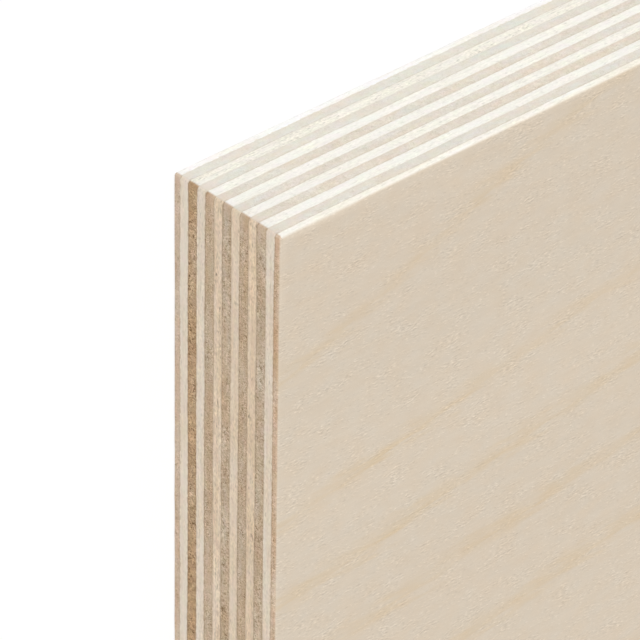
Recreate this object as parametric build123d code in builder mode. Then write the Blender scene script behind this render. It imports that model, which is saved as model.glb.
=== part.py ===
"""Birch plywood sheet, 18 mm thick: thirteen rotary-cut veneers glued face to face.

The grain of each ply runs across that of its neighbours. The sheet lies flat on its back veneer,
with its length and its face grain along X, and the origin is the middle of its underside.
All lengths are in millimetres.
"""

from build123d import *

import os

# Outline of the sheet
SHEET_LENGTH = 2440.0  # along X, the way the face grain runs
SHEET_WIDTH = 1220.0  # along Y

# Ply build-up
FACE_VENEER = 1.0  # face and back veneers, thinned by the final sanding
CROSS_PLY = 1.425  # inner plies with their grain along Y
LONG_PLY = 1.49  # inner plies with their grain along X
CROSS_PLY_COUNT = 6  # a long ply lies between each two, so the sheet is balanced about its middle

# Sanded edges
CORNER_RADIUS = 0.5  # upright edges at the four corners of the sheet
ARRIS_RADIUS = 0.3  # arrises round the face and the back, less than the corner radius


def inner_plies():
    """Name and thickness of each ply between the two outer veneers, from the back to the face."""
    plies = []
    for number in range(1, CROSS_PLY_COUNT + 1):
        plies.append((f"cross_ply_{number}", CROSS_PLY))
        if number < CROSS_PLY_COUNT:
            plies.append((f"long_ply_{number}", LONG_PLY))
    return plies


def write_ply(ply, name):
    """Labels a finished ply and writes it to its own file."""
    ply.part.label = name
    export_step(ply.part, f"parts/{name}.step")


os.makedirs("parts", exist_ok=True)

# Back veneer, which the sheet lies on: its lower arrises are rounded
with BuildPart() as back_veneer:
    with BuildSketch():
        RectangleRounded(SHEET_LENGTH, SHEET_WIDTH, CORNER_RADIUS)
    extrude(amount=FACE_VENEER)
    fillet(back_veneer.faces().sort_by(Axis.Z)[0].edges(), ARRIS_RADIUS)
write_ply(back_veneer, "back_veneer")

# Cross plies and long plies in turn, each one lying on the ply below it
glue_line = FACE_VENEER
for name, thickness in inner_plies():
    with BuildPart() as inner_ply:
        with BuildSketch(Plane.XY.offset(glue_line)):
            RectangleRounded(SHEET_LENGTH, SHEET_WIDTH, CORNER_RADIUS)
        extrude(amount=thickness)
    write_ply(inner_ply, name)
    glue_line += thickness

# Face veneer, on top: its upper arrises are rounded
with BuildPart() as face_veneer:
    with BuildSketch(Plane.XY.offset(glue_line)):
        RectangleRounded(SHEET_LENGTH, SHEET_WIDTH, CORNER_RADIUS)
    extrude(amount=FACE_VENEER)
    fillet(face_veneer.faces().sort_by(Axis.Z)[-1].edges(), ARRIS_RADIUS)
write_ply(face_veneer, "face_veneer")
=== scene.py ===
"""Looks of an 18 mm birch plywood sheet that lies flat: thirteen veneers, their glue lines and their grain.

Each ply is modelled on its own node's box, coarse in the middle and fine along the edges, so that the glue
lines waver a little and the arrises are softly sanded. Three finishes follow the fibres of each ply: pale
long grain where a ply is cut along them, darker speckled end grain where it is cut across, and the growth
rings and flecks of peeled, sanded birch on the face and the back.
Meshes are in metres, and patterns are drawn in millimetres.
"""

import math

import bmesh
import bpy
from mathutils import Matrix, Vector


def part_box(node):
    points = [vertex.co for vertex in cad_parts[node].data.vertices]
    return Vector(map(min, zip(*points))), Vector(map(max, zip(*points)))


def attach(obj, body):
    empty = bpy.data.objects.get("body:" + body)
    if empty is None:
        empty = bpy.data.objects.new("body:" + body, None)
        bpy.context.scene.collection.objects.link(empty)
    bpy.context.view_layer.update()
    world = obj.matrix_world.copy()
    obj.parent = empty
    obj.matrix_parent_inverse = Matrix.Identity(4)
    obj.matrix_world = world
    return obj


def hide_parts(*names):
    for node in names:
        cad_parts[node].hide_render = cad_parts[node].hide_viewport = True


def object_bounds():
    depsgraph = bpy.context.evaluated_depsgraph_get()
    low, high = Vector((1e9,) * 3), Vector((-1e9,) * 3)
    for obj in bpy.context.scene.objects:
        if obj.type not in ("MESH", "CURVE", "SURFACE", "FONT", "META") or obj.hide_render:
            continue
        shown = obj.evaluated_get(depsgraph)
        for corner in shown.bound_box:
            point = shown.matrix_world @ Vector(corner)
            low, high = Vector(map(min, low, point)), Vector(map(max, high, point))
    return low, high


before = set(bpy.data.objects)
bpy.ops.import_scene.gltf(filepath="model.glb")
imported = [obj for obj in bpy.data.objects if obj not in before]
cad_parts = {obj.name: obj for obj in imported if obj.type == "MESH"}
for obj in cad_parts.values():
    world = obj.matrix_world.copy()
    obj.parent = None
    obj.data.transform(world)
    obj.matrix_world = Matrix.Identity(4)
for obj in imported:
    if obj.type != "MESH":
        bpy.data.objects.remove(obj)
cad_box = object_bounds()
plies = sorted(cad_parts, key=lambda name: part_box(name)[0].z)  # from the back to the face

MM = 0.001

# Edges of a ply
MIDDLE_CELL = 61 * MM  # cells of the flat middle, which divide the sheet evenly both ways
EDGE_STEP = 2 * MM  # length of the short faces along the edges
RIM = 20 * MM  # between the middle and the edge band, where the wavering of a glue line fades out
EDGE_BAND = 1.2 * MM  # narrow band that carries the rounded edges
CORNER_RADIUS = 0.5 * MM
FACE_ARRIS = 0.42 * MM  # the face is sanded more than the back
BACK_ARRIS = 0.25 * MM
ROUND_SEGMENTS = 4
SHARP_EDGE = math.radians(60)  # edges that turn by more than this are arrises
SMOOTH_EDGE = math.radians(35)  # edges that turn by less than this are shaded smooth
ON_PLANE = 0.01 * MM  # how near a point has to lie to count as on a plane
ON_ROUNDING = 1.01  # reach of a rounded arris, in radii, with a little to spare

# Unevenness of the cut edges
GLUE_WAVE = 6 * MM  # size of the clouds that a glue line wavers by, larger from each line to the next
GLUE_WAVE_GROWTH = 0.4 * MM
GLUE_WAVE_DEPTH = 0.24 * MM
GLUE_RISE = 0.13 * MM  # the face is sanded more than the back, so all glue lines lie a little higher
ARRIS_WEAR = 3 * MM  # size of the clouds that the sanding of an arris varies by
ARRIS_WEAR_DEPTH = 0.1 * MM
CLOUD_MIDDLE = 0.5  # level of the clouds at which a point stays, so that others move both ways
CLOUD_TOP = 1.0  # level at which a point stays when wear only takes wood away

# Room in a baked picture, 1 wide and 1 high: the length of the strips that the edge is cut into, the height
# of their stack, and the heights between which the upper face and the lower one lie, swapped for the back
VENEER_ROOM = (10 * MIDDLE_CELL, 0.1, (0.14, 0.998), (0.107, 0.133))
INNER_PLY_ROOM = (2 * MIDDLE_CELL, 0.94, (0.975, 0.995), (0.945, 0.965))
STRIP_MARGIN = 0.1  # share of a strip's height that stays empty below it, and above it
SIDE_MARGIN = 0.002
FLAT_FACE = 0.99  # upward share of a normal from which a face belongs to the flat of a ply

# Share of heartwood in each ply: the rest have a little
HEARTWOOD = {
    "back_veneer": 0.15, "cross_ply_1": 0.0, "long_ply_1": 1.0, "cross_ply_2": 0.15, "cross_ply_3": 0.75,
    "long_ply_4": 0.45, "cross_ply_4": 0.62, "cross_ply_5": 0.9, "cross_ply_6": 0.3, "face_veneer": 0.5,
}
SOME_HEARTWOOD = 0.3

# How much the peeling knife has torn each ply, where 1 is usual: the rest are a little smoother
TEARING = {
    "back_veneer": 0.7, "cross_ply_1": 0.5, "long_ply_1": 1.6, "cross_ply_2": 0.9, "cross_ply_3": 1.5,
    "cross_ply_4": 0.85, "cross_ply_5": 1.25, "cross_ply_6": 0.8, "face_veneer": 1.25,
}
SOME_TEARING = 0.8

# Figure of the wood, with lengths in millimetres
LOG_STEP = (137, 71, 40)  # each veneer comes from another part of the log, so its figure starts elsewhere
NOISE_LOW, NOISE_HIGH = 0.25, 0.75  # levels that a noise pattern mostly stays between
RING_SPACING = 30  # mean distance between the rings of a peeled face
BULGE = (500, 85)  # length and width of the bulges that bend the rings
BULGE_START = (176.72, 109.80, 0)  # puts the rings near the corner where they lie in the photograph
BULGE_YEARS = 6  # how far a bulge shifts the rings, in years
FIRST_AGE = 17.5418  # age of the wood along the middle of the face, before it bulges
LEAST_STEEPNESS = 0.012  # years per millimetre: where the age changes less, a ring is drawn wider
SAWN_FUZZ = (0.25, 0.25, 0.25)  # spots of the fine roughness that a saw leaves

# Relief of the surfaces
SAWN_DEPTH = 0.012 * MM
FACE_DEPTH = 0.018 * MM

# Floor, whose shade and glow make it white to the eye and let a shadow darken the shade
FLOOR_SIZE = 60.0
FLOOR_BOUNCE = (0.8, 0.8, 0.8, 1)  # what it gives back to the sheet
FLOOR_SHADE = (0.25, 0.25, 0.25, 1)
FLOOR_GLOW = 0.77

# Light, where 1 is the level at which a colour renders as it is written
WHITE = (1, 1, 1, 1)
SKY_LEVEL = 0.6
SUN_LEVEL = 0.67
SUN_SOFTNESS = math.radians(40)
TOWARDS_SUN = Vector((-0.2, 0.5, 0.4))

# Camera, measured from the lower end of the near corner's upright edge
CAMERA_OFFSET = Vector((-373.68, 361.46, 426.78)) * MM
AIM_OFFSET = Vector((6.30, -13.84, 18.0)) * MM
CAMERA_ROLL = math.radians(0.948)
SENSOR = 36.0
FOCAL_PIXELS = 5941.0
PICTURE_PIXELS = 640.0
NEAREST, FARTHEST = 0.01, 200  # metres between which it sees

# Sockets of a Mix node that mixes colours
FACTOR, COLOUR_A, COLOUR_B, MIXED = 0, 6, 7, 2


def linear(colour):
    """An sRGB hex colour as linear RGBA."""
    shares = [int(colour[k:k + 2], 16) / 255 for k in (1, 3, 5)]
    return [s / 12.92 if s <= 0.04045 else ((s + 0.055) / 1.055) ** 2.4 for s in shares] + [1.0]


def add(tree, kind, inputs, output=0, **settings):
    """Adds a node with its settings, each input a value or another node's output, and gives one output."""
    node = tree.nodes.new(kind)
    for name, value in settings.items():
        setattr(node, name, value)
    for name, value in inputs.items():
        if isinstance(value, bpy.types.NodeSocket):
            tree.links.new(value, node.inputs[name])
        else:
            node.inputs[name].default_value = value
    return node.outputs[output] if node.outputs else node


def pick(piece, kind, passes):
    """In edit mode, selects only the faces or edges that pass a test."""
    bpy.ops.mesh.select_mode(type=kind)
    bpy.ops.mesh.select_all(action="DESELECT")
    shape = bmesh.from_edit_mesh(piece.data)
    for part in shape.faces if kind == "FACE" else shape.edges:
        if passes(part):
            part.select_set(True)
    bmesh.update_edit_mesh(piece.data)


def beyond(point, outline):
    """How far a point lies outside a rectangle round the origin: 0 on the rectangle, less inside it."""
    return max(abs(point.x) - outline.x / 2, abs(point.y) - outline.y / 2)


def ply_blank(name):
    """A slab on the node's box, with large cells in the middle and a band of short faces along the edges."""
    low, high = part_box(name)
    outline = Vector((high.x - low.x, high.y - low.y, 1))
    band = outline - Vector((2 * EDGE_BAND, 2 * EDGE_BAND, 0))
    middle = band - Vector((2 * RIM, 2 * RIM, 0))
    bpy.ops.object.select_all(action="DESELECT")
    bpy.ops.mesh.primitive_grid_add(
        x_subdivisions=round(outline.x / MIDDLE_CELL), y_subdivisions=round(outline.y / MIDDLE_CELL), size=1)
    ply = bpy.context.object
    ply.name = ply.data.name = f"birch_{name}"
    bpy.ops.object.mode_set(mode="EDIT")
    bpy.ops.mesh.select_all(action="SELECT")
    bpy.ops.transform.resize(value=middle, center_override=(0, 0, 0))
    bpy.ops.transform.translate(value=(0, 0, low.z))
    # The rim and the edge band grow outwards from the middle
    bpy.ops.mesh.region_to_loop()
    for inner, outer in ((middle, band), (band, outline)):
        bpy.ops.mesh.extrude_region_move()
        growth = (outer.x / inner.x, outer.y / inner.y, 1)
        bpy.ops.transform.resize(value=growth, center_override=(0, 0, low.z))
    pick(ply, "FACE", lambda face: beyond(face.calc_center_median(), band) > 0)
    bpy.ops.mesh.region_to_loop()
    bpy.ops.mesh.subdivide(number_cuts=round(MIDDLE_CELL / EDGE_STEP) - 1)
    bpy.ops.mesh.select_all(action="SELECT")
    bpy.ops.mesh.extrude_region_move(TRANSFORM_OT_translate={"value": (0, 0, high.z - low.z)})
    bpy.ops.mesh.select_all(action="SELECT")
    bpy.ops.mesh.normals_make_consistent(inside=False)
    return ply


def round_corners(ply, outline):
    """Rounds the four upright corner edges."""
    pick(ply, "EDGE", lambda edge: all(
        outline.x / 2 - abs(corner.co.x) < ON_PLANE and outline.y / 2 - abs(corner.co.y) < ON_PLANE
        for corner in edge.verts))
    bpy.ops.mesh.bevel(offset=CORNER_RADIUS, segments=ROUND_SEGMENTS, affect="EDGES")


def round_arris(ply, level, radius):
    """Rounds the sharp edges that lie at one level, all round the ply."""
    pick(ply, "EDGE", lambda edge: edge.calc_face_angle(0) > SHARP_EDGE and all(
        abs(corner.co.z - level) < ON_PLANE for corner in edge.verts))
    bpy.ops.mesh.bevel(offset=radius, segments=ROUND_SEGMENTS, affect="EDGES")


def note(ply, name, values):
    """Keeps a number at each point of a ply for its finish to read."""
    ply.data.attributes.new(name, "FLOAT", "POINT").data.foreach_set("value", values)


def waver(ply, name, cloud_size, depth, direction, still, reached):
    """Moves the points that are reached in and out by soft clouds, which move none at their still level."""
    clouds = bpy.data.textures.new(name, "CLOUDS")
    clouds.noise_scale = cloud_size
    group = ply.vertex_groups.new(name=name)
    group.add([point.index for point in ply.data.vertices if reached(point.co)], 1, "REPLACE")
    displace = ply.modifiers.new(name, "DISPLACE")
    displace.texture = clouds
    displace.texture_coords = "LOCAL"
    displace.direction = direction
    displace.mid_level = still
    displace.strength = depth
    displace.vertex_group = group.name
    bpy.ops.object.modifier_apply(modifier=name)
    ply.vertex_groups.clear()
    bpy.data.textures.remove(clouds)


def along_edge(place, size, normal):
    """Distance along the edge of a ply, counted from one corner round its four sides."""
    if abs(normal.x) > abs(normal.y):
        start = size.x if normal.x > 0 else 2 * size.x + size.y
        return start + place.y + size.y / 2
    start = 0 if normal.y < 0 else size.x + size.y
    return start + place.x + size.x / 2


def lay_out(ply, low, high, rounding, glued_below):
    """Lays a ply's surface out flat for a baked picture: its edge as a stack of strips, then its two faces.

    Most of the room goes to the free face of an outer veneer, and to the edge of any other ply.
    """
    size = high - low
    strip, edge_room, upper, lower = VENEER_ROOM if rounding else INNER_PLY_ROOM
    if not glued_below:
        upper, lower = lower, upper
    rows = round(2 * (size.x + size.y) / strip)
    places = []
    for face in ply.data.polygons:
        row = along_edge(face.center, size, face.normal) // strip
        for corner in face.loop_indices:
            point = ply.data.vertices[ply.data.loops[corner].vertex_index].co
            if abs(face.normal.z) > FLAT_FACE:
                room = upper if face.normal.z > 0 else lower
                across = point.x / size.x + 0.5
                up = room[0] + (point.y / size.y + 0.5) * (room[1] - room[0])
            else:
                across = along_edge(point, size, face.normal) / strip - row
                # A rounded arris is rolled out flat, as wide as its radius
                inset = min(-beyond(point, size), rounding)
                risen = point.z - low.z + (inset if glued_below else rounding - inset)
                risen = STRIP_MARGIN + (1 - 2 * STRIP_MARGIN) * risen / (size.z + rounding)
                up = (row + risen) / rows * edge_room
            places += [SIDE_MARGIN + (1 - 2 * SIDE_MARGIN) * across, up]
    ply.data.uv_layers.new(name="OFBake").uv.foreach_set("vector", places)


def finished_ply(name, number):
    """One ply with its edges rounded where they are free, and uneven where they are glued."""
    low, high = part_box(name)
    size = high - low
    band = size - Vector((2 * EDGE_BAND, 2 * EDGE_BAND, 0))
    glued_below = number > 0
    glued_above = number < len(plies) - 1
    piece = ply_blank(name)
    round_corners(piece, size)
    rounding = 0
    if not glued_below:
        rounding = BACK_ARRIS
        round_arris(piece, low.z, rounding)
    if not glued_above:
        rounding = FACE_ARRIS
        round_arris(piece, high.z, rounding)
    bpy.ops.object.mode_set(mode="OBJECT")
    lay_out(piece, low, high, rounding, glued_below)
    points = [point.co for point in piece.data.vertices]
    note(piece, "plies_below_face", [len(plies) - 1 - number] * len(points))
    note(piece, "heartwood", [HEARTWOOD.get(name, SOME_HEARTWOOD)] * len(points))
    note(piece, "tearing", [TEARING.get(name, SOME_TEARING)] * len(points))
    insets = [max(size.x / 2 - abs(point.x), size.y / 2 - abs(point.y)) for point in points]
    note(piece, "from_corner", [inset / MM for inset in insets])
    # A free side counts as a whole ply away from the glue, so that none shows there
    free = size.z / MM
    note(piece, "above_glue", [(point.z - low.z) / MM + (0 if glued_below else free) for point in points])
    note(piece, "below_glue", [(high.z - point.z) / MM + (0 if glued_above else free) for point in points])
    for glued, level, line in ((glued_below, low.z, number), (glued_above, high.z, number + 1)):
        if glued:
            waver(piece, f"glue_line_{line}", GLUE_WAVE + line * GLUE_WAVE_GROWTH, GLUE_WAVE_DEPTH, "Z",
                  CLOUD_MIDDLE - GLUE_RISE / GLUE_WAVE_DEPTH,
                  lambda point: abs(point.z - level) < ON_PLANE and beyond(point, band) > -ON_PLANE)
        else:
            reach = ON_ROUNDING * rounding
            waver(piece, "arris_wear", ARRIS_WEAR, ARRIS_WEAR_DEPTH, "NORMAL", CLOUD_TOP,
                  lambda point: max(abs(point.z - level), -beyond(point, size)) < reach)
    bpy.ops.object.shade_smooth_by_angle(angle=SMOOTH_EDGE)
    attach(piece, "root")
    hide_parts(name)
    return piece


def fibre_space(tree, turn):
    """Place in millimetres with X along the fibres, and how squarely the surface faces along each axis."""
    place = add(tree, "ShaderNodeTexCoord", {}, "Object")
    normal = add(tree, "ShaderNodeTexCoord", {}, "Normal")
    place = add(tree, "ShaderNodeMapping", {"Vector": place, "Rotation": (0, 0, turn),
                                            "Scale": [1 / MM] * 3})
    normal = add(tree, "ShaderNodeMapping", {"Vector": normal, "Rotation": (0, 0, turn)})
    below = add(tree, "ShaderNodeAttribute", {}, "Fac", attribute_name="plies_below_face")
    place = add(tree, "ShaderNodeVectorMath", {0: below, 1: LOG_STEP, 2: place}, operation="MULTIPLY_ADD")
    normal = add(tree, "ShaderNodeVectorMath", {0: normal}, operation="ABSOLUTE")
    return place, normal


def figure(tree, place, size, low=0.0, high=1.0, detail=1.0):
    """Soft random figure of the wood between two levels, with spots of that size in millimetres."""
    spots = add(tree, "ShaderNodeMapping", {"Vector": place, "Scale": [1 / length for length in size]})
    spots = add(tree, "ShaderNodeTexNoise", {"Vector": spots, "Scale": 1, "Detail": detail})
    return add(tree, "ShaderNodeMapRange", {"Value": spots, "From Min": NOISE_LOW, "From Max": NOISE_HIGH,
                                            "To Min": low, "To Max": high})


def tinted(tree, place, wood, size, cool, warm):
    """Wood that changes in soft patches from a cool tint to a warm one."""
    patches = figure(tree, place, size, detail=2)
    tint = add(tree, "ShaderNodeMix", {FACTOR: patches, COLOUR_A: (*cool, 1), COLOUR_B: (*warm, 1)}, MIXED,
               data_type="RGBA")
    return add(tree, "ShaderNodeVectorMath", {0: wood, 1: tint}, operation="MULTIPLY")


def wood_colour(tree, place, sapwood, heartwood, patch, change):
    """Sapwood or heartwood by the ply's share of it, which changes from patch to patch."""
    heart = add(tree, "ShaderNodeAttribute", {}, "Fac", attribute_name="heartwood")
    more = figure(tree, place, patch, low=-change, high=change, detail=2)
    heart = add(tree, "ShaderNodeMath", {0: heart, 1: more}, operation="ADD")
    wood = add(tree, "ShaderNodeMix", {FACTOR: heart, COLOUR_A: linear(sapwood), COLOUR_B: linear(heartwood)},
               MIXED, data_type="RGBA")
    return tinted(tree, place, wood, (1.6, 1.2, 1.2), cool=(0.988, 1.022, 0.988), warm=(1.012, 0.978, 1.012))


def glue_gaps(tree, place):
    """Distances in millimetres to the glue line below and the one above, ragged by loose fibres."""
    ragged = figure(tree, place, (0.6, 0.6, 0.6), low=-0.15, high=0.15, detail=3)
    gaps = []
    for name in ("above_glue", "below_glue"):
        gap = add(tree, "ShaderNodeAttribute", {}, "Fac", attribute_name=name)
        gaps.append(add(tree, "ShaderNodeMath", {0: gap, 1: ragged}, operation="ADD"))
    return gaps


def long_grain(tree, place, sapwood, heartwood, soaked, roughness):
    """Colour of birch cut along its fibres: streaks, blotches of torn fibre, and margins soaked with glue."""
    wood = wood_colour(tree, place, sapwood, heartwood, patch=(9, 0.9, 0.9), change=0.22 * roughness)
    wood = tinted(tree, place, wood, (4, 1.4, 1.4), cool=(0.995, 1.002, 1.035), warm=(1.005, 0.994, 0.96))
    streaks = figure(tree, place, (12, 0.3, 0.3), low=-0.055, high=0.055, detail=2)
    torn = figure(tree, place, (1.4, 0.8, 0.8), low=-0.035, high=0.035, detail=2)
    fibres = figure(tree, place, (0.45, 0.22, 0.22), low=-0.075, high=0.075)
    # Vessels are about 0.1 mm wide, and are drawn twice as wide so that they show
    vessels = figure(tree, place, (1.1, 0.2, 0.2), detail=0)
    vessels = add(tree, "ShaderNodeMapRange", {"Value": vessels, "From Min": 0.84, "From Max": 1,
                                               "To Min": 0, "To Max": -0.14})
    shade = streaks
    for more in (torn, fibres, vessels):
        shade = add(tree, "ShaderNodeMath", {0: shade, 1: more}, operation="ADD")
    rough = figure(tree, place, (4, 1.4, 1.4), low=0.35 * roughness, high=1.65 * roughness, detail=2)
    tearing = add(tree, "ShaderNodeAttribute", {}, "Fac", attribute_name="tearing")
    rough = add(tree, "ShaderNodeMath", {0: rough, 1: tearing}, operation="MULTIPLY")
    shade = add(tree, "ShaderNodeMath", {0: shade, 1: rough, 2: 1.0}, operation="MULTIPLY_ADD")
    wood = add(tree, "ShaderNodeVectorMath", {0: wood, "Scale": shade}, operation="SCALE")
    above, below = glue_gaps(tree, place)
    nearest = add(tree, "ShaderNodeMath", {0: above, 1: below}, operation="MINIMUM")
    margin = add(tree, "ShaderNodeMapRange", {"Value": nearest, "From Min": 0.0, "From Max": 0.17,
                                              "To Min": 0.85, "To Max": 0}, interpolation_type="SMOOTHSTEP")
    return add(tree, "ShaderNodeMix", {FACTOR: margin, COLOUR_A: wood, COLOUR_B: linear(soaked)}, MIXED,
               data_type="RGBA")


def end_grain(tree, place, sapwood, heartwood, glue, contrast, lines):
    """Colour of birch cut across its fibres: open vessels as fine speckle, and thin lines of glue and painted
    shade.
    """
    wood = wood_colour(tree, place, sapwood, heartwood, patch=(9, 9, 1.5), change=0.35)
    wood = tinted(tree, place, wood, (15, 15, 3), cool=(0.985, 1.004, 1.03), warm=(1.015, 0.996, 0.965))
    wood = tinted(tree, place, wood, (6, 6, 2), cool=(0.98, 1.018, 1.035), warm=(1.025, 0.977, 0.96))
    wood = tinted(tree, place, wood, (1.8, 1.8, 0.8), cool=(0.985, 1.0, 1.045), warm=(1.02, 0.99, 0.945))
    # Near the upright corners the saw has rubbed the vessels shut, and the wood is warmer there
    corner = add(tree, "ShaderNodeAttribute", {}, "Fac", attribute_name="from_corner")
    unevenly = figure(tree, place, (2, 2, 1.2), low=-1.2, high=1.2)
    corner = add(tree, "ShaderNodeMath", {0: corner, 1: unevenly}, operation="ADD")
    rubbed = add(tree, "ShaderNodeMapRange", {"Value": corner, "From Min": 0.6, "From Max": 2.4,
                                              "To Min": 0.3, "To Max": 1}, interpolation_type="SMOOTHSTEP")
    warmth = add(tree, "ShaderNodeMix", {FACTOR: rubbed, COLOUR_A: (1.03, 0.988, 0.965, 1), COLOUR_B: WHITE},
                 MIXED, data_type="RGBA")
    wood = add(tree, "ShaderNodeVectorMath", {0: wood, 1: warmth}, operation="MULTIPLY")
    # Vessels and rays are 0.1 mm wide or less, and are drawn about 0.2 mm wide so that they show
    speckle = figure(tree, place, (0.16, 0.16, 0.22), low=-0.41 * contrast, high=0.41 * contrast, detail=2)
    clusters = figure(tree, place, (0.8, 0.8, 0.6), low=-0.02 - 0.13 * contrast, high=0.02 + 0.13 * contrast)
    patches = figure(tree, place, (4, 4, 1.2), low=-0.02 - 0.06 * contrast, high=0.02 + 0.06 * contrast)
    pores = figure(tree, place, (0.28, 0.28, 0.28), detail=0)
    pores = add(tree, "ShaderNodeMapRange", {"Value": pores, "From Min": 0.76, "From Max": 1, "To Min": 0,
                                             "To Max": -0.32 * contrast})
    for more in (clusters, patches, pores):
        speckle = add(tree, "ShaderNodeMath", {0: speckle, 1: more}, operation="ADD")
    # Heartwood is more open, and so is wood whose fibres are torn
    heart = add(tree, "ShaderNodeAttribute", {}, "Fac", attribute_name="heartwood")
    openness = add(tree, "ShaderNodeMath", {0: heart, 1: 0.65, 2: 0.75}, operation="MULTIPLY_ADD")
    torn = figure(tree, place, (3, 3, 1.2), low=0.4, high=1.6, detail=2)
    for share in (rubbed, torn):
        openness = add(tree, "ShaderNodeMath", {0: openness, 1: share}, operation="MULTIPLY")
    speckle = add(tree, "ShaderNodeMath", {0: speckle, 1: openness}, operation="MULTIPLY")
    # Open ends are not only darker but yellower too, so blue changes most
    shade = add(tree, "ShaderNodeVectorMath", {0: speckle, 1: (0.9, 1.0, 1.2), 2: (1, 1, 1)},
                operation="MULTIPLY_ADD")
    wood = add(tree, "ShaderNodeVectorMath", {0: wood, 1: shade}, operation="MULTIPLY")
    # Dark lines at the joints, partly glue and partly painted shade: the callers' depths draw them deeper
    # below the plies whose fibres run along the sheet, a painted shadow line
    shown = []
    for gap, depth in zip(glue_gaps(tree, place), lines):
        shown.append(add(tree, "ShaderNodeMapRange", {
            "Value": gap, "From Min": 0, "From Max": 0.2, "To Min": depth, "To Max": 0},
            interpolation_type="SMOOTHSTEP"))
    line = add(tree, "ShaderNodeMath", {0: shown[0], 1: shown[1]}, operation="MAXIMUM")
    return add(tree, "ShaderNodeMix", {FACTOR: line, COLOUR_A: wood, COLOUR_B: linear(glue)}, MIXED,
               data_type="RGBA")


def sawn_edge(tree, normal, along, across, turning):
    """Colour of a sawn and sanded edge: long grain, or end grain where it faces along the fibres."""
    squareness = add(tree, "ShaderNodeSeparateXYZ", {"Vector": normal}, "X")
    facing = add(tree, "ShaderNodeMapRange", {"Value": squareness, "From Min": turning[0],
                                              "From Max": turning[1]}, interpolation_type="SMOOTHSTEP")
    colour = add(tree, "ShaderNodeMix", {FACTOR: facing, COLOUR_A: along, COLOUR_B: across}, MIXED,
                 data_type="RGBA")
    # Painted shade: the rounded upright corners, where the surface turns from end to side, are drawn darker
    sideways = add(tree, "ShaderNodeSeparateXYZ", {"Vector": normal}, "Y")
    corner_shade_mask = add(tree, "ShaderNodeMath", {0: squareness, 1: sideways}, operation="MULTIPLY")
    shade = add(tree, "ShaderNodeMapRange", {"Value": corner_shade_mask, "From Min": 0, "From Max": 0.5,
                                             "To Min": 1, "To Max": 0.8})
    return add(tree, "ShaderNodeVectorMath", {0: colour, "Scale": shade}, operation="SCALE")


def ring_age(tree, place):
    """Age of the wood at a place on the face, in years: the log isn't quite round, so its rings wander."""
    bulges = add(tree, "ShaderNodeMapping", {"Vector": place, "Location": BULGE_START,
                                             "Scale": (1 / BULGE[0], 1 / BULGE[1], 0)})
    bulges = add(tree, "ShaderNodeTexNoise", {"Vector": bulges, "Scale": 1, "Detail": 0},
                 noise_dimensions="2D")
    across = add(tree, "ShaderNodeSeparateXYZ", {"Vector": place}, "Y")
    age = add(tree, "ShaderNodeMath", {0: across, 1: -1 / RING_SPACING, 2: FIRST_AGE},
              operation="MULTIPLY_ADD")
    return add(tree, "ShaderNodeMath", {0: bulges, 1: BULGE_YEARS, 2: age}, operation="MULTIPLY_ADD")


def growth_rings(tree, place):
    """How dark the rings are, which deepen over a few millimetres, and the wood's tone over the years."""
    age = ring_age(tree, place)
    # Years per millimetre, from the age one millimetre further across the fibres
    beside = add(tree, "ShaderNodeVectorMath", {0: place, 1: (0, 1, 0)}, operation="ADD")
    steepness = add(tree, "ShaderNodeMath", {0: ring_age(tree, beside), 1: age}, operation="SUBTRACT")
    steepness = add(tree, "ShaderNodeMath", {0: steepness}, operation="ABSOLUTE")
    steepness = add(tree, "ShaderNodeMath", {0: steepness, 1: LEAST_STEEPNESS}, operation="MAXIMUM")
    # Millimetres grown in a year and left to grow, feathered along the fibres
    grown = add(tree, "ShaderNodeMath", {0: age}, operation="FRACT")
    left = add(tree, "ShaderNodeMath", {0: 1.0, 1: grown}, operation="SUBTRACT")
    feathered = figure(tree, place, (8, 1.2, 1), low=-1.6, high=1.6, detail=3)
    left = add(tree, "ShaderNodeMath", {0: left, 1: steepness}, operation="DIVIDE")
    left = add(tree, "ShaderNodeMath", {0: left, 1: feathered}, operation="ADD")
    grown = add(tree, "ShaderNodeMath", {0: grown, 1: steepness}, operation="DIVIDE")
    grown = add(tree, "ShaderNodeMath", {0: grown, 1: feathered}, operation="SUBTRACT")
    late = add(tree, "ShaderNodeMapRange", {"Value": left, "From Min": -0.8, "From Max": 2.9,
                                            "To Min": 1, "To Max": 0}, interpolation_type="SMOOTHSTEP")
    early = add(tree, "ShaderNodeMapRange", {"Value": grown, "From Min": -0.8, "From Max": 1.6,
                                             "To Min": 1, "To Max": 0}, interpolation_type="SMOOTHSTEP")
    ring = add(tree, "ShaderNodeMath", {0: late, 1: early}, operation="MAXIMUM")
    strength = figure(tree, place, (11, 6, 1), low=0.15, high=1.0, detail=3)
    distinct = figure(tree, place, (500, 170, 1), low=0.4, high=1.0)
    for share in (strength, distinct):
        ring = add(tree, "ShaderNodeMath", {0: ring, 1: share}, operation="MULTIPLY")
    years = add(tree, "ShaderNodeTexNoise", {"W": age, "Scale": 0.24, "Detail": 1}, noise_dimensions="1D")
    years = add(tree, "ShaderNodeMapRange", {"Value": years, "From Min": NOISE_LOW, "From Max": NOISE_HIGH,
                                             "To Min": 0.98, "To Max": 1.02})
    return ring, years


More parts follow.
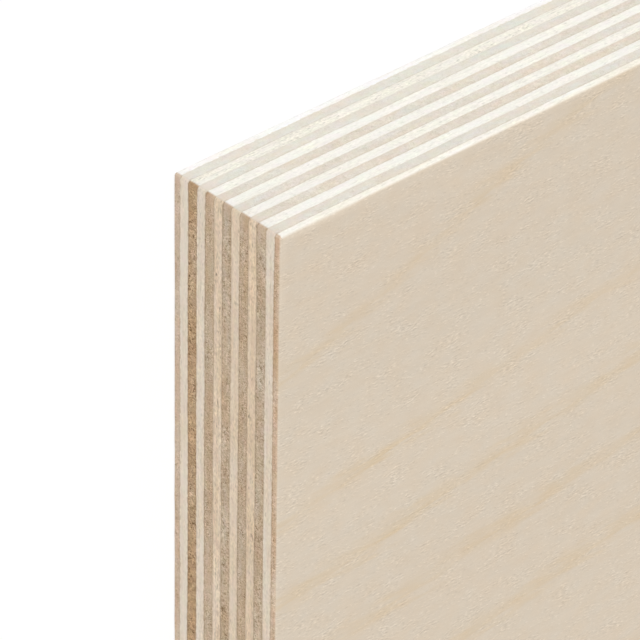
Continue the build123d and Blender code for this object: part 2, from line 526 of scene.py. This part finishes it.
def peeled_face(tree, place, pale, dark):
    """Colour and height of a peeled and sanded face: growth rings, soft patches, fibres and fine flecks."""
    rings, years = growth_rings(tree, place)
    wood = add(tree, "ShaderNodeMix", {FACTOR: rings, COLOUR_A: linear(pale), COLOUR_B: linear(dark)}, MIXED,
               data_type="RGBA")
    wood = tinted(tree, place, wood, (60, 16, 1), cool=(0.998, 1.005, 1.011), warm=(1.002, 0.995, 0.989))
    wood = tinted(tree, place, wood, (3.2, 2.2, 1), cool=(0.996, 1.019, 1.048), warm=(1.004, 0.987, 0.966))
    wood = tinted(tree, place, wood, (700, 130, 1), cool=(0.992, 1.01, 1.03), warm=(1.008, 0.99, 0.97))
    shade = figure(tree, place, (340, 70, 1), low=0.96, high=1.04, detail=2)
    patches = figure(tree, place, (2.2, 1.8, 1), low=0.982, high=1.018, detail=2)
    fibres = figure(tree, place, (7, 0.4, 1), low=0.98, high=1.02, detail=2)
    # Short vessel lines in loose clusters, sunk into the surface, and pale fibres raised by sanding
    clusters = figure(tree, place, (5, 2.5, 1), low=-0.2, high=0.2, detail=2)
    fleck = figure(tree, place, (0.62, 0.24, 1))
    deep = add(tree, "ShaderNodeMath", {0: fleck, 1: clusters}, operation="ADD")
    sunk = add(tree, "ShaderNodeMapRange", {"Value": deep, "From Min": 0.66, "From Max": 1.1},
               interpolation_type="SMOOTHSTEP")
    high = add(tree, "ShaderNodeMath", {0: fleck, 1: clusters}, operation="SUBTRACT")
    raised = add(tree, "ShaderNodeMapRange", {"Value": high, "From Min": 0.46, "From Max": -0.25},
                 interpolation_type="SMOOTHSTEP")
    sunk = add(tree, "ShaderNodeMath", {0: sunk, 1: -1.0}, operation="MULTIPLY")
    relief = add(tree, "ShaderNodeMath", {0: raised, 1: 2.2, 2: sunk}, operation="MULTIPLY_ADD")
    fleck = add(tree, "ShaderNodeMath", {0: relief, 1: 0.096, 2: 1.0}, operation="MULTIPLY_ADD")
    for share in (years, patches, fibres, fleck):
        shade = add(tree, "ShaderNodeMath", {0: shade, 1: share}, operation="MULTIPLY")
    wood = add(tree, "ShaderNodeVectorMath", {0: wood, "Scale": shade}, operation="SCALE")
    return wood, relief


def wood_shader(tree, colour, height, depth):
    """Finishes a material: bare sanded wood with that colour and fine relief of that depth."""
    bump = add(tree, "ShaderNodeBump", {"Height": height, "Distance": depth, "Strength": 1})
    shader = add(tree, "ShaderNodeBsdfPrincipled", {
        "Base Color": colour, "Roughness": 0.65, "IOR": 1.5, "Specular IOR Level": 0.4, "Normal": bump})
    add(tree, "ShaderNodeOutputMaterial", {"Surface": shader})


def material(name):
    """An empty material with its node tree."""
    made = bpy.data.materials.new(name)
    made.use_nodes = True
    made.node_tree.nodes.clear()
    return made, made.node_tree


def birch_long_ply():
    """Peeled birch with its fibres along the sheet: nearly white on the long sides, brown on the ends."""
    made, tree = material("sawn birch, fibres along the sheet")
    place, normal = fibre_space(tree, 0)
    # Long grain is paler than end grain, and the long sides are also drawn whiter and greyer than the wood
    # is: a painted highlight for the bright light on them
    along = long_grain(tree, place, sapwood="#e6e4dd", heartwood="#dfdbd0", soaked="#d8d2c6", roughness=1.05)
    across = end_grain(tree, place, sapwood="#c9b7a0", heartwood="#b49672", glue="#7d6347", contrast=1.0,
                       lines=(0.5, 0.25))
    colour = sawn_edge(tree, normal, along, across, turning=(0.1, 0.6))
    wood_shader(tree, colour, figure(tree, place, SAWN_FUZZ), SAWN_DEPTH)
    return made


def birch_cross_ply():
    """Peeled birch with its fibres across the sheet: cream on the ends, pale grey-brown on the long sides."""
    made, tree = material("sawn birch, fibres across the sheet")
    place, normal = fibre_space(tree, math.radians(90))
    along = long_grain(tree, place, sapwood="#e5d9c8", heartwood="#dec6a9", soaked="#c4af96", roughness=1.5)
    # Painted highlight: the end grain and glue on the long sides are drawn paler, greyer and flatter than the
    # end grain on the long plies' ends, for the bright light on them
    across = end_grain(tree, place, sapwood="#d1cec4", heartwood="#d0c7b9", glue="#b0a28e", contrast=0.2,
                       lines=(0.1, 0.4))
    colour = sawn_edge(tree, normal, along, across, turning=(0.8, 0.995))
    wood_shader(tree, colour, figure(tree, place, SAWN_FUZZ), SAWN_DEPTH)
    return made


def birch_face():
    """Peeled and sanded birch: warm cream with faint growth rings and fine flecks, dull like bare wood."""
    made, tree = material("peeled and sanded birch face")
    place, normal = fibre_space(tree, 0)
    # Painted highlight: the veneer's long sides are drawn nearly white and grey, paler than long grain is,
    # for the bright light on them
    along = long_grain(tree, place, sapwood="#eaeaea", heartwood="#ddd3b8", soaked="#d6cfc1", roughness=0.8)
    across = end_grain(tree, place, sapwood="#d5c1ac", heartwood="#b9966e", glue="#8a6c4c", contrast=0.7,
                       lines=(0.5, 0.25))
    edge = sawn_edge(tree, normal, along, across, turning=(0.1, 0.6))
    face, relief = peeled_face(tree, place, pale="#d4c6b3", dark="#d1ba97")
    # The colour of the edge begins part of the way round an arris
    endwards = add(tree, "ShaderNodeSeparateXYZ", {"Vector": normal}, "X")
    sidewards = add(tree, "ShaderNodeSeparateXYZ", {"Vector": normal}, "Y")
    endwards = add(tree, "ShaderNodeMapRange", {"Value": endwards, "From Min": 0.5, "From Max": 1},
                   interpolation_type="SMOOTHSTEP")
    sidewards = add(tree, "ShaderNodeMapRange", {"Value": sidewards, "From Min": 0.15, "From Max": 1},
                    interpolation_type="SMOOTHSTEP")
    rounded = add(tree, "ShaderNodeMath", {0: endwards, 1: sidewards}, operation="MAXIMUM")
    colour = add(tree, "ShaderNodeMix", {FACTOR: rounded, COLOUR_A: face, COLOUR_B: edge}, MIXED,
                 data_type="RGBA")
    wood_shader(tree, colour, relief, FACE_DEPTH)
    return made


def seen_rays(tree):
    """1 for a ray that shows the background, seen straight, in a gloss or through glass, and 0 for others."""
    seen = None
    for ray in ("Is Camera Ray", "Is Glossy Ray", "Is Transmission Ray"):
        kind = add(tree, "ShaderNodeLightPath", {}, ray)
        seen = add(tree, "ShaderNodeMath", {0: seen, 1: kind}, operation="MAXIMUM") if seen else kind
    return seen


# Plies, from the back to the face
finishes = {
    "birch_face": birch_face(), "birch_long_ply": birch_long_ply(), "birch_cross_ply": birch_cross_ply(),
}
for number, name in enumerate(plies):
    piece = finished_ply(name, number)
    slot = "birch_face" if "veneer" in name else f"birch_{name[:-2]}"
    piece.data.materials.append(finishes[slot])

# White floor, which keeps a faint shadow
bpy.ops.object.select_all(action="DESELECT")
bpy.ops.mesh.primitive_plane_add(size=FLOOR_SIZE)
floor = bpy.context.object
floor.name = "floor"
floor_paint, tree = material("white floor")
bounce = add(tree, "ShaderNodeBsdfDiffuse", {"Color": FLOOR_BOUNCE})
shade = add(tree, "ShaderNodeBsdfDiffuse", {"Color": FLOOR_SHADE})
glow = add(tree, "ShaderNodeEmission", {"Strength": FLOOR_GLOW})
backdrop = add(tree, "ShaderNodeAddShader", {0: shade, 1: glow})
look = add(tree, "ShaderNodeMixShader", {0: seen_rays(tree), 1: bounce, 2: backdrop})
add(tree, "ShaderNodeOutputMaterial", {"Surface": look})
floor.data.materials.append(floor_paint)

# Even light from the sky, white where it is seen
scene = bpy.context.scene
scene.world = bpy.data.worlds.new("studio")
scene.world.use_nodes = True
tree = scene.world.node_tree
tree.nodes.clear()
level = add(tree, "ShaderNodeMapRange", {"Value": seen_rays(tree), "To Min": SKY_LEVEL, "To Max": 1})
sky = add(tree, "ShaderNodeBackground", {"Color": WHITE, "Strength": level})
add(tree, "ShaderNodeOutputWorld", {"Surface": sky})

# Soft sun from above the near corner
bpy.ops.object.light_add(type="SUN")
sun = bpy.context.object
sun.rotation_mode = "QUATERNION"
sun.rotation_quaternion = TOWARDS_SUN.to_track_quat("Z", "Y")
sun.data.energy = SUN_LEVEL * math.pi
sun.data.angle = SUN_SOFTNESS

# Camera
corner = Vector((cad_box[0].x, cad_box[1].y, cad_box[0].z))
back = (CAMERA_OFFSET - AIM_OFFSET).normalized()
right = Vector((0, 1, 0)).cross(back).normalized()
turned = Matrix((right, back.cross(right), back)).transposed().to_4x4()
turned @= Matrix.Rotation(CAMERA_ROLL, 4, "Z")
bpy.ops.object.camera_add()
camera = bpy.context.object
camera.matrix_world = Matrix.Translation(corner + CAMERA_OFFSET) @ turned
camera.data.sensor_width = SENSOR
camera.data.lens = FOCAL_PIXELS / PICTURE_PIXELS * SENSOR
camera.data.clip_start = NEAREST
camera.data.clip_end = FARTHEST
scene.camera = camera
scene.view_settings.view_transform = "Standard"
